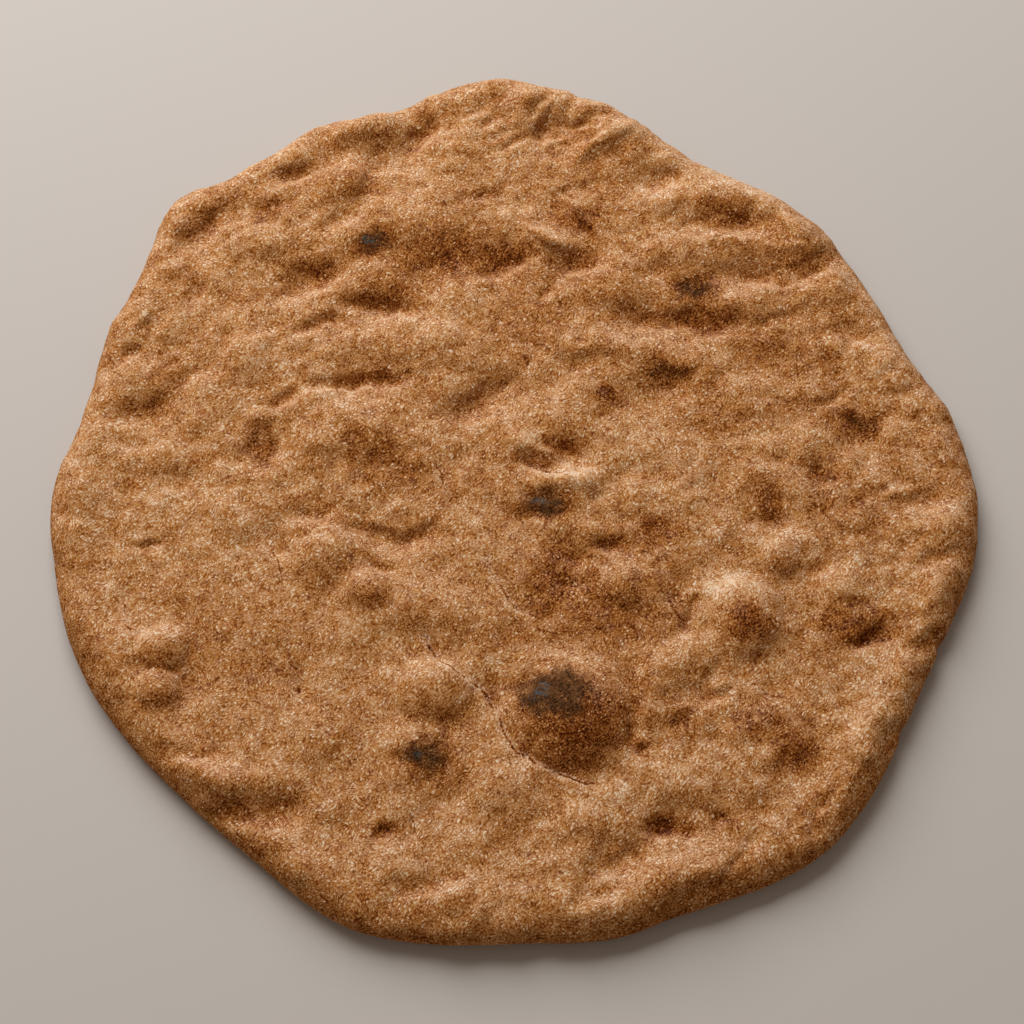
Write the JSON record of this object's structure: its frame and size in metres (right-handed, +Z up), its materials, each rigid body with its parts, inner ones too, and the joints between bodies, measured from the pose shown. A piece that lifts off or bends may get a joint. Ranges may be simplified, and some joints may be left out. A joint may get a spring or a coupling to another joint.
{
  "type": "rye flatbread",
  "caption": "Round, uneven rye flatbread in one piece, with a blistered, folded and charred crust, a rolled rim and a flat underside.",
  "frame": {"origin": "middle of the underside, at the centre of the bread's box seen from above", "axes": "+Z up out of the crust, +X to the right and -Y towards the viewer in the picture's view"},
  "size_m": [0.2598, 0.2698, 0.0135],
  "materials": {
    "rye_crust": "matte"
  },
  "bodies": {
    "root": {"flatbread": "rye_crust"}
  },
  "joints": []
}
